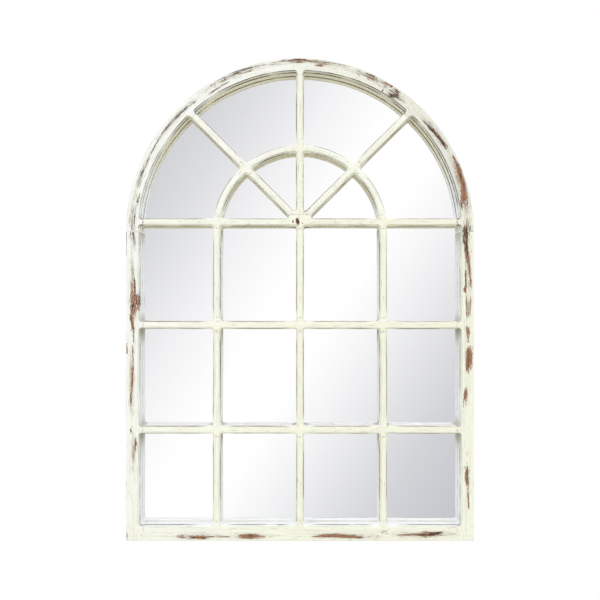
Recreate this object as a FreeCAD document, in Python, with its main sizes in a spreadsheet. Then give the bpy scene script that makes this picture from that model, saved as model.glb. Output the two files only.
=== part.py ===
"""Arched window mirror: a joined wooden window frame with glazing bars over one sheet of mirror.

The pieces are drawn as they lie on the bench, face up: X to the right, Y up the mirror and Z from
the wall towards the viewer. The arch is centred on the origin and Z = 0 is the wall. Each finished
piece is then stood upright by its Placement, so that the front faces -Y and +Z is up. The origin
of the upright mirror is the middle of the line between its two wall hooks.
"""
import FreeCAD, Part
import math
import os

from FreeCAD import Placement, Rotation, Vector

SIZES = [
    # outline and face
    ("outer_width", 700.0, "width over the stiles, which is twice the arch's outer radius"),
    ("spring_height", 621.0, "from the base to the arch's centre"),
    ("face_width", 24.5, "front face of the stiles and the arch"),
    ("rail_face_width", 28.5, "front face of the bottom rail"),
    ("ledge_width", 2.5, "step in the moulding round each pane"),
    ("ledge_depth", 6.0, "from the front face down to that step"),
    ("sight_depth", 27.0, "from the front face down to the mirror"),
    ("front_corner", 6.5, "corner radius of a pane opening above the step"),
    ("rear_corner", 4.0, "corner radius of a pane opening below the step"),
    ("crown_angle", 60.0, "degrees of the arch in its crown segment"),
    # glazing bars
    ("bar_face", 10.5, "front face of a glazing bar"),
    ("side_bar_offset", 168.0, "from the centre bar to each side bar"),
    ("upper_bar_rise", 20.5, "from the arch's centre up to the middle of the upper bar"),
    ("upper_row_pitch", 207.5, "from the upper bar down to the middle bar"),
    ("middle_row_pitch", 211.5, "from the middle bar down to the lower bar"),
    ("spoke_angle", 45.0, "degrees from the upper bar to a spoke"),
    # joinery
    ("tenon_width", 7.0, "across the bar"),
    ("tenon_thickness", 12.0, "through the depth of the bar"),
    ("frame_tenon_length", 16.0, "from the frame's inner edge into the frame"),
    ("bar_tenon_length", 10.0, "from one bar's edge into another bar"),
    ("tenon_clearance", 0.1, "round a tenon in its mortise"),
    ("dowel_diameter", 8.0, "beech pins in the frame's joints"),
    ("dowel_length", 30.0, "half of it on each side of the joint"),
    ("dowel_clearance", 0.05, "round a dowel in its hole"),
    ("outer_dowel_inset", 8.0, "from the outer edge to the first dowel"),
    ("inner_dowel_inset", 20.0, "from the outer edge to the second dowel"),
    # mirror and back board
    ("glass_thickness", 3.0, "mirror sheet"),
    ("glass_overlap", 7.5, "width of the frame's seat under the mirror's edge"),
    ("glass_clearance", 1.0, "between the mirror's edge and its rebate"),
    ("board_thickness", 4.0, "back board"),
    ("board_lip", 6.0, "width of frame left outside the back board"),
    ("board_clearance", 0.5, "between the board's edge and its rebate"),
    # screws
    ("screw_inset", 13.0, "from the outer edge to the board screws and bumpers"),
    ("screw_radius", 1.75, "shank"),
    ("screw_clearance", 0.05, "round a screw in its hole"),
    ("point_length", 4.0, "taper at the end of a screw"),
    ("slot_width", 0.9, "driver slot"),
    ("slot_depth", 0.8, "driver slot"),
    ("board_screw_length", 15.0, "over the countersunk head"),
    ("board_head_radius", 3.4, "countersunk head"),
    ("board_head_height", 2.0, "countersunk head"),
    ("corner_screw_height", 60.0, "from the base to the lowest screw in a stile"),
    ("top_screw_drop", 100.0, "from the springing down to the highest screw in a stile"),
    ("first_arch_screw", 15.0, "degrees up the arch"),
    ("outer_rail_screw", 225.0, "from the middle to the last screw in the bottom rail"),
    # hangers and bumpers
    ("hanger_inset", 14.0, "from the outer edge to the middle of a hanger"),
    ("strap_width", 12.0, "hanger strap"),
    ("strap_thickness", 1.2, "hanger strap"),
    ("first_hanger_screw", 22.0, "from the ring's hinge down to the first screw"),
    ("hanger_screw_pitch", 12.0, "between a strap's two screws"),
    ("hanger_screw_length", 18.0, "under the head"),
    ("hanger_head_radius", 3.0, "pan head"),
    ("hanger_head_height", 1.8, "pan head"),
    ("knuckle_length", 10.0, "rolled eye of the strap"),
    ("wire_radius", 1.25, "hanger ring"),
    ("wire_clearance", 0.05, "round the ring's bar in the eye"),
    ("ring_lift", 0.3, "between the hanging ring and the strap"),
    ("ring_half_width", 9.0, "from the ring's middle to its side wire"),
    ("ring_corner", 3.0, "bend between the ring's bar and its side"),
    ("ring_side", 4.0, "straight side of the ring"),
    ("bumper_thickness", 6.0, "which holds the frame's back off the wall"),
    ("bumper_radius", 7.0, "rubber bumper"),
    ("bumper_chamfer", 1.0, "rubber bumper"),
    ("bumper_height", 21.0, "from the base to the middle of a bumper"),
]
STILE_SCREWS = 4
ARCH_SCREWS = 6
RAIL_SCREWS = 4
SIDES = (("left", -1), ("right", 1))
UPRIGHT = Placement(Vector(0, 0, 0), Rotation(Vector(1, 0, 0), 90))
SPARE = "1"  # how far a cutting shape runs past the wood, mm

doc = FreeCAD.newDocument("ArchedWindowMirror")
sheet = doc.addObject("Spreadsheet::Sheet", "Sizes")
for row, (alias, value, note) in enumerate(SIZES, 1):
    sheet.set(f"A{row}", note)
    sheet.set(f"B{row}", str(value))
    sheet.setAlias(f"B{row}", alias)
doc.recompute()


def size(alias):
    """The number in a cell of the sheet."""
    return float(getattr(sheet, alias))


# Levels above the wall, and lines on the face, as expressions on the sheet.
BACK = "Sizes.bumper_thickness"
GLASS_BACK = f"({BACK} + Sizes.board_thickness)"
GLASS_FRONT = f"({GLASS_BACK} + Sizes.glass_thickness)"
FRONT = f"({GLASS_FRONT} + Sizes.sight_depth)"
LEDGE = f"({FRONT} - Sizes.ledge_depth)"
LAP = f"({GLASS_FRONT} + Sizes.sight_depth / 2)"
TENON_LOW = f"({LAP} - Sizes.tenon_thickness / 2)"
TENON_HIGH = f"({LAP} + Sizes.tenon_thickness / 2)"
RADIUS = "(Sizes.outer_width / 2)"
BASE = "(-Sizes.spring_height)"
CORNER = "max(Sizes.front_corner; Sizes.rear_corner)"
STOCK = f"(Sizes.face_width + Sizes.ledge_width + {CORNER})"
RAIL_STOCK = f"(Sizes.rail_face_width + Sizes.ledge_width + {CORNER})"
HALF_STOCK = f"(Sizes.bar_face / 2 + Sizes.ledge_width + {CORNER})"
OFFSET = "Sizes.side_bar_offset"
UPPER = "Sizes.upper_bar_rise"
MIDDLE = f"({UPPER} - Sizes.upper_row_pitch)"
LOWER = f"({MIDDLE} - Sizes.middle_row_pitch)"
ARC_RADIUS = f"sqrt({OFFSET}^2 + {UPPER}^2)"


def bind(thing, expressions):
    """Ties properties of an object to expressions on the sheet."""
    for path, expression in expressions.items():
        thing.setExpression(path, expression)
    return thing


def at(x, y, z):
    """The expressions that place an object's origin."""
    return {"Placement.Base.x": x, "Placement.Base.y": y, "Placement.Base.z": z}


def box(name, low, high):
    """A block between two corners, each given as three expressions."""
    block = doc.addObject("Part::Box", name)
    bind(block, at(*low))
    spans = [f"({top}) - ({bottom})" for bottom, top in zip(low, high)]
    return bind(block, {"Length": spans[0], "Width": spans[1], "Height": spans[2]})


def disc(name, radius, low, high, x="0", y="0"):
    """An upright cylinder between two levels."""
    cylinder = doc.addObject("Part::Cylinder", name)
    bind(cylinder, at(x, y, low))
    return bind(cylinder, {"Radius": radius, "Height": f"({high}) - ({low})"})


def cone(name, low_radius, high_radius, low, high, x, y):
    """An upright frustum between two levels."""
    frustum = doc.addObject("Part::Cone", name)
    bind(frustum, at(x, y, low))
    height = f"({high}) - ({low})"
    return bind(frustum, {"Radius1": low_radius, "Radius2": high_radius, "Height": height})


def wedge(name, apex, start, sweep, low, high):
    """A slice of a large disc, from a start in degrees over a sweep, with its point at the apex."""
    sector = disc(name, "Sizes.outer_width", low, high, *apex)
    sector.Placement = Placement(Vector(0, 0, 0), Rotation(Vector(0, 0, 1), start))
    return bind(sector, {"Angle": sweep})


def rod(name, radius, length, middle, turn):
    """A cylinder lying flat, centred on a point and turned from +X by an angle in degrees."""
    cylinder = doc.addObject("Part::Cylinder", name)
    lying = Rotation(Vector(0, 0, 1), turn).multiply(Rotation(Vector(0, 1, 0), 90))
    cylinder.Placement = Placement(Vector(0, 0, 0), lying)
    x, y, z = middle
    start = at(f"{x} - ({length}) / 2 * cos({turn})", f"{y} - ({length}) / 2 * sin({turn})", z)
    bind(cylinder, start)
    return bind(cylinder, {"Radius": radius, "Height": length})


def fuse(name, *members):
    """One solid made of several that meet."""
    union = doc.addObject("Part::MultiFuse", name)
    union.Shapes = list(members)
    union.Refine = True
    return union


def group(name, members):
    """Several solids that stay apart."""
    compound = doc.addObject("Part::Compound", name)
    compound.Links = list(members)
    return compound


def pair(kind, name, base, tool, refine=True):
    """A boolean of two objects."""
    result = doc.addObject(kind, name)
    result.Base = base
    result.Tool = tool
    result.Refine = refine
    return result


def common(name, base, tool):
    return pair("Part::Common", name, base, tool)


def cut(name, base, *tools):
    """The base with every tool taken away in turn. Only the last result bears the name."""
    for number, tool in enumerate(tools, 1):
        last = number == len(tools)
        base = pair("Part::Cut", name if last else f"{name}_cut_{number}", base, tool, refine=last)
    return base


def arched_slab(name, side_inset, base_inset, low, high):
    """The mirror's outline drawn in by an inset at the sides and arch and another at the base."""
    half = f"({RADIUS} - ({side_inset}))"
    straight = box(f"{name}_straight", (f"-{half}", f"{BASE} + {base_inset}", low), (half, "0", high))
    curved = disc(f"{name}_curved", half, low, high)
    return fuse(name, straight, curved)


def corner_edges(shape):
    """The numbers of a prism's upright edges, without those where two faces run on smoothly."""
    numbers = []
    for number, edge in enumerate(shape.Edges, 1):
        bounds = edge.BoundBox
        if bounds.XLength > 1e-6 or bounds.YLength > 1e-6:
            continue
        corner = edge.Vertexes[0].Point
        faces = shape.ancestorsOfType(edge, Part.Face)
        normals = [face.normalAt(*face.Surface.parameter(corner)) for face in faces]
        if normals[0].getAngle(normals[1]) > math.radians(5):
            numbers.append(number)
    return numbers


def rounded(name, source, radius):
    """A prism with its upright corners rounded."""
    doc.recompute()
    fillet = doc.addObject("Part::Fillet", name)
    fillet.Base = source
    fillet.Edges = [(number, radius, radius) for number in corner_edges(source.Shape)]
    return fillet


# --- pane openings -----------------------------------------------------------------------------


def fan_wedges(name, sign, half, low, high):
    """The two slices of the fan on one side, between the upper bar, the spoke and the centre bar."""
    near = f"({half}) / tan(Sizes.spoke_angle / 2)"
    far = f"({half}) / tan((90 - Sizes.spoke_angle) / 2)"
    spoke = size("spoke_angle")
    low_start, high_start = (0, spoke) if sign > 0 else (180 - spoke, 90)
    low_apex = (f"{sign} * {near}", f"{UPPER} + {half}")
    high_apex = (f"{sign} * ({half})", f"{UPPER} + {far}")
    lower = wedge(f"{name}_low_slice", low_apex, low_start, "Sizes.spoke_angle", low, high)
    upper = wedge(f"{name}_high_slice", high_apex, high_start, "90 - Sizes.spoke_angle", low, high)
    return (("low", lower), ("high", upper))


def pane_prisms(tier, inset, low, radius):
    """The twenty pane openings above or below the moulding's step, by name."""
    high = f"{FRONT} + {SPARE}"
    half = f"(Sizes.bar_face / 2 + {inset})"
    sight = arched_slab(
        f"{tier}_sight", f"Sizes.face_width + {inset}", f"Sizes.rail_face_width + {inset}", low, high
    )
    rows = (
        ("lower", f"{BASE} + Sizes.rail_face_width + {inset}", f"{LOWER} - {half}"),
        ("middle", f"{LOWER} + {half}", f"{MIDDLE} - {half}"),
        ("upper", f"{MIDDLE} + {half}", f"{UPPER} - {half}"),
    )
    columns = (("outer", f"{OFFSET} + {half}", RADIUS), ("inner", half, f"{OFFSET} - {half}"))
    around_arc = disc(f"{tier}_around_arc", f"{ARC_RADIUS} + {half}", low, high)
    within_arc = disc(f"{tier}_within_arc", f"{ARC_RADIUS} - {half}", low, high)
    prisms = {}
    for side, sign in SIDES:
        for row, bottom, top in rows:
            for column, near, far in columns:
                name = f"{side}_{row}_{column}"
                edges = (near, far) if sign > 0 else (f"-({far})", f"-({near})")
                block = box(f"{tier}_{name}_block", (edges[0], bottom, low), (edges[1], top, high))
                prisms[name] = common(f"{tier}_{name}_sharp", block, sight)
        for slice_name, sector in fan_wedges(f"{tier}_{side}", sign, half, low, high):
            name = f"{side}_fan_{slice_name}"
            prisms[f"{name}_inner"] = common(f"{tier}_{name}_inner_sharp", sector, within_arc)
            reach = common(f"{tier}_{name}_reach", sector, sight)
            prisms[f"{name}_outer"] = cut(f"{tier}_{name}_outer_sharp", reach, around_arc)
    return {name: rounded(f"{tier}_{name}", prism, radius) for name, prism in prisms.items()}


front_prisms = pane_prisms("front", "0", LEDGE, size("front_corner"))
rear_prisms = pane_prisms("rear", "Sizes.ledge_width", GLASS_FRONT, size("rear_corner"))
openings = group(
    "pane_openings",
    [fuse(f"opening_{name}", front_prisms[name], rear_prisms[name]) for name in front_prisms],
)


# --- glazing bar blanks ------------------------------------------------------------------------


def strip_corners(line, middle, half, start, end, low, high):
    """The corners of a straight strip that runs along X or Y."""
    if line == "across":
        return (start, f"{middle} - ({half})", low), (end, f"{middle} + ({half})", high)
    return (f"{middle} - ({half})", start, low), (f"{middle} + ({half})", end, high)


def spoke_strip(name, sign, half, low, high):
    """A straight strip along a spoke, from the hub outwards."""
    angle = size("spoke_angle") if sign > 0 else 180 - size("spoke_angle")
    strip = doc.addObject("Part::Box", name)
    strip.Placement = Placement(Vector(0, 0, 0), Rotation(Vector(0, 0, 1), angle))
    bind(strip, at(f"({half}) * sin({angle})", f"{UPPER} - ({half}) * cos({angle})", low))
    return bind(
        strip, {"Length": "Sizes.outer_width", "Width": f"2 * ({half})", "Height": f"({high}) - ({low})"}
    )


def ring_strip(name, half, low, high):
    """A ring that follows the inner arc."""
    outside = disc(f"{name}_outside", f"{ARC_RADIUS} + ({half})", low, high)
    hollow = disc(f"{name}_hollow", f"{ARC_RADIUS} - ({half})", low, high)
    return cut(name, outside, hollow)


BAR_LOW, BAR_HIGH = GLASS_FRONT, FRONT
BOTTOM_END = f"{BASE} - {SPARE}"
TOP_END = f"{RADIUS} + {SPARE}"
SIDE_TOP = f"{UPPER} - {HALF_STOCK}"
STRAIGHT_BARS = {
    # name: direction, position of the middle line, start, end of the bar, end of its tenon strip
    "upper_bar": ("across", UPPER, f"-{TOP_END}", TOP_END, TOP_END),
    "middle_bar": ("across", MIDDLE, f"-{TOP_END}", TOP_END, TOP_END),
    "lower_bar": ("across", LOWER, f"-{TOP_END}", TOP_END, TOP_END),
    "centre_bar": ("up", "0", BOTTOM_END, TOP_END, TOP_END),
    "left_bar": ("up", f"-{OFFSET}", BOTTOM_END, SIDE_TOP, f"{SIDE_TOP} + Sizes.bar_tenon_length"),
    "right_bar": ("up", OFFSET, BOTTOM_END, SIDE_TOP, f"{SIDE_TOP} + Sizes.bar_tenon_length"),
}


def straight_strip(bar, name, half, low, high, past="0", tenoned=False):
    """A strip along a straight bar, as long as the bar or as its tenon strip."""
    line, middle, start, bar_end, tenon_end = STRAIGHT_BARS[bar]
    end = f"{tenon_end} + {past}" if tenoned else bar_end
    return box(name, *strip_corners(line, middle, half, start, end, low, high))


def strip(bar, name, half, low, high, past="0", tenoned=False):
    """A strip along any bar."""
    if bar in STRAIGHT_BARS:
        return straight_strip(bar, name, half, low, high, past, tenoned)
    side, kind = bar.split("_", 1)
    sign = dict(SIDES)[side]
    if kind == "spoke":
        return spoke_strip(name, sign, half, low, high)
    reach = f"({HALF_STOCK} - Sizes.bar_tenon_length - {past})" if tenoned else HALF_STOCK
    ring = ring_strip(f"{name}_ring", half, low, high)
    edges = (reach, RADIUS) if sign > 0 else (f"-{RADIUS}", f"-({reach})")
    quarter = box(f"{name}_quarter", (edges[0], f"{UPPER} + {reach}", low), (edges[1], RADIUS, high))
    return common(name, ring, quarter)


BARS = tuple(STRAIGHT_BARS) + ("left_spoke", "right_spoke", "left_inner_arc", "right_inner_arc")
CLEAR = "Sizes.tenon_clearance"
within_frame = arched_slab("within_frame", STOCK, RAIL_STOCK, BAR_LOW, BAR_HIGH)
within_tenons = arched_slab(
    "within_tenons",
    f"{STOCK} - Sizes.frame_tenon_length",
    f"{RAIL_STOCK} - Sizes.frame_tenon_length",
    TENON_LOW,
    TENON_HIGH,
)
within_mortises = arched_slab(
    "within_mortises",
    f"{STOCK} - Sizes.frame_tenon_length - {CLEAR}",
    f"{RAIL_STOCK} - Sizes.frame_tenon_length - {CLEAR}",
    f"{TENON_LOW} - {CLEAR}",
    f"{TENON_HIGH} + {CLEAR}",
)


def bar_blank(bar):
    """A bar before the panes and laps are cut: its stock inside the frame, and its tenons."""
    stock = strip(bar, f"{bar}_stock", HALF_STOCK, BAR_LOW, BAR_HIGH)
    tenon = strip(bar, f"{bar}_tenon", "Sizes.tenon_width / 2", TENON_LOW, TENON_HIGH, tenoned=True)
    return fuse(
        f"{bar}_blank",
        common(f"{bar}_stock_inside", stock, within_frame),
        common(f"{bar}_tenon_inside", tenon, within_tenons),
    )


def mortise(bar):
    """The space that a bar's tenons need."""
    grown = f"Sizes.tenon_width / 2 + {CLEAR}"
    low, high = f"{TENON_LOW} - {CLEAR}", f"{TENON_HIGH} + {CLEAR}"
    space = strip(bar, f"{bar}_mortise_strip", grown, low, high, CLEAR, tenoned=True)
    return common(f"{bar}_mortise", space, within_mortises)


def lap_tool(bar, half_name):
    """The front or rear half of a bar's stock, which another bar gives way to."""
    low, high = (f"{BAR_LOW} - {SPARE}", LAP) if half_name == "rear" else (LAP, f"{BAR_HIGH} + {SPARE}")
    return strip(bar, f"{bar}_{half_name}_lap", HALF_STOCK, low, high)


def full_tool(bar):
    """The whole stock of a bar, which the spokes are scribed to."""
    return strip(bar, f"{bar}_full", HALF_STOCK, f"{BAR_LOW} - {SPARE}", f"{BAR_HIGH} + {SPARE}")


mortises = {bar: mortise(bar) for bar in BARS}
UPRIGHT_BARS = ("centre_bar", "left_bar", "right_bar")
LEVEL_BARS = ("upper_bar", "middle_bar", "lower_bar")
rear_laps = {bar: lap_tool(bar, "rear") for bar in UPRIGHT_BARS + ("left_spoke", "right_spoke")}
front_laps = {bar: lap_tool(bar, "front") for bar in LEVEL_BARS + ("left_inner_arc", "right_inner_arc")}
hub_tools = [full_tool("upper_bar"), full_tool("centre_bar")]
side_mortises = [mortises["left_bar"], mortises["right_bar"]]
arc_mortises = [mortises["left_inner_arc"], mortises["right_inner_arc"]]


def bar_tools(bar):
    """What is taken from a bar's blank, besides the pane openings."""
    if bar == "upper_bar":
        return [rear_laps["centre_bar"]] + side_mortises + arc_mortises
    if bar in LEVEL_BARS:
        return [rear_laps[name] for name in UPRIGHT_BARS]
    if bar == "centre_bar":
        return [front_laps[name] for name in LEVEL_BARS] + arc_mortises
    if bar in UPRIGHT_BARS:
        return [front_laps["middle_bar"], front_laps["lower_bar"]]
    side = bar.split("_")[0]
    if bar.endswith("spoke"):
        return hub_tools + [front_laps[f"{side}_inner_arc"]]
    return [rear_laps[f"{side}_spoke"]]


# --- screws, dowels and other fixings ----------------------------------------------------------


def shank(name, x, y, low, high, growth):
    """A screw's shank and point, from one level to another."""
    radius = f"Sizes.screw_radius + {growth}"
    shoulder = f"{high} - Sizes.point_length"
    body = disc(f"{name}_shank", radius, low, shoulder, x, y)
    point = cone(f"{name}_point", radius, f"0.2 + {growth}", shoulder, f"{high} + {growth}", x, y)
    return [body, point]


def slotted(name, whole, x, y, low, half_length):
    """A screw with a driver slot in its head."""
    half = "Sizes.slot_width / 2"
    lows = (f"{x} - {half_length}", f"{y} - {half}", f"{low} - {SPARE}")
    highs = (f"{x} + {half_length}", f"{y} + {half}", f"{low} + Sizes.slot_depth")
    return cut(name, whole, box(f"{name}_slot", lows, highs))


def board_screw(name, x, y, growth="0"):
    """A countersunk screw that holds the back board, or its hole when grown."""
    neck = f"{BACK} + Sizes.board_head_height"
    head = cone(
        f"{name}_head",
        f"Sizes.board_head_radius + {growth}",
        f"Sizes.screw_radius + {growth}",
        BACK,
        neck,
        x,
        y,
    )
    tip = f"{BACK} + Sizes.board_screw_length"
    whole = fuse(f"{name}_whole", head, *shank(name, x, y, neck, tip, growth))
    return whole if growth != "0" else slotted(name, whole, x, y, BACK, "Sizes.board_head_radius")


STRAP_BACK = f"({BACK} - Sizes.strap_thickness)"
RING_LEVEL = f"({STRAP_BACK} - Sizes.ring_lift - Sizes.wire_radius)"
RING_LENGTH = "(Sizes.ring_corner + Sizes.ring_side + Sizes.ring_half_width)"
HINGE = f"(Sizes.wire_radius - {RING_LENGTH})"


def hanger_x(sign):
    return f"{sign} * ({RADIUS} - Sizes.hanger_inset)"


def hanger_screw_places():
    """Side name, number and place of each hanger screw."""
    for side, sign in SIDES:
        for number in range(2):
            y = f"({HINGE} - Sizes.first_hanger_screw - {number} * Sizes.hanger_screw_pitch)"
            yield f"{side}_{number + 1}", hanger_x(sign), y


def hanger_screw(name, x, y):
    """A pan-headed screw through a hanger strap."""
    top = f"{STRAP_BACK} - Sizes.hanger_head_height"
    head = disc(f"{name}_head", "Sizes.hanger_head_radius", top, STRAP_BACK, x, y)
    tip = f"{STRAP_BACK} + Sizes.hanger_screw_length"
    whole = fuse(f"{name}_whole", head, *shank(name, x, y, STRAP_BACK, tip, "0"))
    return slotted(name, whole, x, y, top, "Sizes.hanger_head_radius")


def hanger_screw_hole(name, x, y):
    """The hole that a hanger screw needs in the strap, the board and the frame."""
    tip = f"{STRAP_BACK} + Sizes.hanger_screw_length"
    low = f"{STRAP_BACK} - {SPARE}"
    return fuse(f"{name}_whole", *shank(name, x, y, low, tip, "Sizes.screw_clearance"))


def board_screw_places():
    """Name and place of each screw in the back board: up the stiles, round the arch, along the rail."""
    line = f"({RADIUS} - Sizes.screw_inset)"
    run = "(Sizes.spring_height - Sizes.corner_screw_height - Sizes.top_screw_drop)"
    for side, sign in SIDES:
        for number in range(STILE_SCREWS):
            climb = f"{run} * {number} / {STILE_SCREWS - 1}"
            y = f"({BASE} + Sizes.corner_screw_height + {climb})"
            yield f"{side}_{number + 1}", f"{sign} * {line}", y
    for number in range(ARCH_SCREWS):
        step = f"(180 - 2 * Sizes.first_arch_screw) * {number} / {ARCH_SCREWS - 1}"
        angle = f"(Sizes.first_arch_screw + {step})"
        yield f"arch_{number + 1}", f"{line} * cos({angle})", f"{line} * sin({angle})"
    for number in range(RAIL_SCREWS):
        share = 2 * number / (RAIL_SCREWS - 1) - 1
        yield f"rail_{number + 1}", f"Sizes.outer_rail_screw * {share}", f"({BASE} + Sizes.screw_inset)"


def dowel_places():
    """Name, middle and direction in degrees of each dowel in the frame's joints."""
    seams = (0, 90 - size("crown_angle") / 2, 90 + size("crown_angle") / 2, 180)
    for number, angle in enumerate(seams, 1):
        for place in ("outer", "inner"):
            reach = f"({RADIUS} - Sizes.{place}_dowel_inset)"
            middle = (f"{reach} * cos({angle})", f"{reach} * sin({angle})", LAP)
            yield f"seam_{number}_{place}", middle, angle + 90
    for side, sign in SIDES:
        for place in ("outer", "inner"):
            middle = (f"{sign} * ({RADIUS} - {STOCK})", f"{BASE} + Sizes.{place}_dowel_inset", LAP)
            yield f"{side}_corner_{place}", middle, 0


def dowels(prefix, growth):
    """The dowels of all the frame's joints, or their holes when grown."""
    radius = f"Sizes.dowel_diameter / 2 + {growth}"
    length = f"Sizes.dowel_length + 2 * {growth}"
    return [rod(f"{prefix}_{name}", radius, length, *place) for name, *place in dowel_places()]


board_places = list(board_screw_places())
hanger_places = list(hanger_screw_places())
board_holes = group(
    "board_screw_holes",
    [board_screw(f"board_hole_{name}", x, y, "Sizes.screw_clearance") for name, x, y in board_places],
)
hanger_holes = group(
    "hanger_screw_holes", [hanger_screw_hole(f"hanger_hole_{name}", x, y) for name, x, y in hanger_places]
)
dowel_holes = group("dowel_holes", dowels("dowel_hole", "Sizes.dowel_clearance"))


# --- the pieces --------------------------------------------------------------------------------

nodes = {}


def piece(name, finished):
    """Names a finished piece and stands it upright."""
    finished.Label = name
    finished.Placement = UPRIGHT
    nodes[name] = finished


GLASS_SIDE = "(Sizes.face_width + Sizes.ledge_width - Sizes.glass_overlap)"
GLASS_FOOT = "(Sizes.rail_face_width + Sizes.ledge_width - Sizes.glass_overlap)"
rebates = fuse(
    "rebates",
    arched_slab("glass_rebate", GLASS_SIDE, GLASS_FOOT, f"{GLASS_BACK} - {SPARE}", GLASS_FRONT),
    arched_slab("board_rebate", "Sizes.board_lip", "Sizes.board_lip", f"{BACK} - {SPARE}", GLASS_BACK),
)
frame_mortises = fuse("frame_mortises", *[mortises[bar] for bar in BARS if not bar.endswith("arc")])


def frame_piece(name, blank):
    """A piece of the frame, moulded, rebated and bored."""
    tools = (openings, rebates, frame_mortises, dowel_holes, board_holes, hanger_holes)
    piece(name, cut(name, blank, *tools))


def arch_blank(name, start, sweep):
    """A sawn segment of the arch, from one angle over another."""
    outside = disc(f"{name}_outside", RADIUS, BACK, FRONT)
    outside.Placement = Placement(Vector(0, 0, 0), Rotation(Vector(0, 0, 1), start))
    bind(outside, {"Angle": sweep})
    hollow = disc(f"{name}_hollow", f"{RADIUS} - {STOCK}", f"{BACK} - {SPARE}", f"{FRONT} + {SPARE}")
    return cut(f"{name}_blank", outside, hollow)


for side, sign in SIDES:
    edges = (f"-{RADIUS}", f"-({RADIUS} - {STOCK})") if sign < 0 else (f"{RADIUS} - {STOCK}", RADIUS)
    frame_piece(f"{side}_stile", box(f"{side}_stile_blank", (edges[0], BASE, BACK), (edges[1], "0", FRONT)))
rail_edges = (f"-({RADIUS} - {STOCK})", f"{RADIUS} - {STOCK}")
frame_piece(
    "bottom_rail",
    box("bottom_rail_blank", (rail_edges[0], BASE, BACK), (rail_edges[1], f"{BASE} + {RAIL_STOCK}", FRONT)),
)
haunch = 90 - size("crown_angle") / 2
frame_piece("right_haunch", arch_blank("right_haunch", 0, "90 - Sizes.crown_angle / 2"))
frame_piece("arch_crown", arch_blank("arch_crown", haunch, "Sizes.crown_angle"))
frame_piece("left_haunch", arch_blank("left_haunch", 180 - haunch, "90 - Sizes.crown_angle / 2"))

for bar in BARS:
    piece(bar, cut(bar, bar_blank(bar), openings, *bar_tools(bar)))

piece(
    "mirror_glass",
    arched_slab(
        "mirror_glass",
        f"{GLASS_SIDE} + Sizes.glass_clearance",
        f"{GLASS_FOOT} + Sizes.glass_clearance",
        GLASS_BACK,
        GLASS_FRONT,
    ),
)
board_inset = "Sizes.board_lip + Sizes.board_clearance"
board_slab = arched_slab("back_board_slab", board_inset, board_inset, BACK, GLASS_BACK)
piece("back_board", cut("back_board", board_slab, board_holes, hanger_holes))
piece("joint_dowels", group("joint_dowels", dowels("dowel", "0")))
screws = [board_screw(f"board_screw_{name}", x, y) for name, x, y in board_places]
piece("board_screws", group("board_screws", screws))


def hanger_strap(name, x):
    """A steel strap with a rolled eye at its upper end."""
    half = "Sizes.strap_width / 2"
    foot = f"({HINGE} - Sizes.first_hanger_screw - Sizes.hanger_screw_pitch)"
    plate = box(f"{name}_plate", (f"{x} - {half}", foot, STRAP_BACK), (f"{x} + {half}", HINGE, BACK))
    end = disc(f"{name}_end", half, STRAP_BACK, BACK, x, foot)
    bore = "Sizes.wire_radius + Sizes.wire_clearance"
    middle = (x, HINGE, RING_LEVEL)
    eye = rod(f"{name}_eye", f"{bore} + Sizes.strap_thickness", "Sizes.knuckle_length", middle, 0)
    hole = rod(f"{name}_bore", bore, f"Sizes.strap_width + 2 * {SPARE}", middle, 0)
    return cut(name, fuse(f"{name}_whole", plate, end, eye), hole, hanger_holes)


def wire_bend(name, bend, sweep, middle, turn):
    """Part of a torus lying flat, from +X over an angle, then turned."""
    torus = doc.addObject("Part::Torus", name)
    torus.Placement = Placement(Vector(0, 0, 0), Rotation(Vector(0, 0, 1), turn))
    bind(torus, at(*middle))
    return bind(torus, {"Radius1": bend, "Radius2": "Sizes.wire_radius", "Angle3": sweep})


def hanger_ring(name, x):
    """A D-shaped wire ring, hanging from its straight bar in the strap's eye."""
    corner, side, half = "Sizes.ring_corner", "Sizes.ring_side", "Sizes.ring_half_width"
    shoulder = f"({HINGE} - {corner})"
    bar = rod(f"{name}_bar", "Sizes.wire_radius", f"2 * ({half} - {corner})", (x, HINGE, RING_LEVEL), 0)
    members = [bar]
    for label, sign in SIDES:
        bend_middle = (f"{x} + {sign} * ({half} - {corner})", shoulder, RING_LEVEL)
        turn = 0 if sign > 0 else 90
        members.append(wire_bend(f"{name}_{label}_corner", corner, "90", bend_middle, turn))
        side_middle = (f"{x} + {sign} * {half}", f"{shoulder} - {side} / 2", RING_LEVEL)
        members.append(rod(f"{name}_{label}_side", "Sizes.wire_radius", side, side_middle, 90))
    loop_middle = (x, f"{shoulder} - {side}", RING_LEVEL)
    members.append(wire_bend(f"{name}_loop", half, "180", loop_middle, 180))
    return fuse(name, *members)


for side, sign in SIDES:
    piece(f"{side}_hanger_strap", hanger_strap(f"{side}_hanger_strap", hanger_x(sign)))
    piece(f"{side}_hanger_ring", hanger_ring(f"{side}_hanger_ring", hanger_x(sign)))
piece(
    "hanger_screws",
    group("hanger_screws", [hanger_screw(f"hanger_screw_{name}", x, y) for name, x, y in hanger_places]),
)


def bumper(name, sign):
    """A rubber bumper, which bears on the wall with its chamfered end."""
    place = (f"{sign} * ({RADIUS} - Sizes.screw_inset)", f"{BASE} + Sizes.bumper_height")
    tip = cone(
        f"{name}_tip",
        "Sizes.bumper_radius - Sizes.bumper_chamfer",
        "Sizes.bumper_radius",
        "0",
        "Sizes.bumper_chamfer",
        *place,
    )
    return fuse(name, tip, disc(f"{name}_body", "Sizes.bumper_radius", "Sizes.bumper_chamfer", BACK, *place))


piece("wall_bumpers", group("wall_bumpers", [bumper(f"{side}_bumper", sign) for side, sign in SIDES]))


# --- checks and files --------------------------------------------------------------------------

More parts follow.
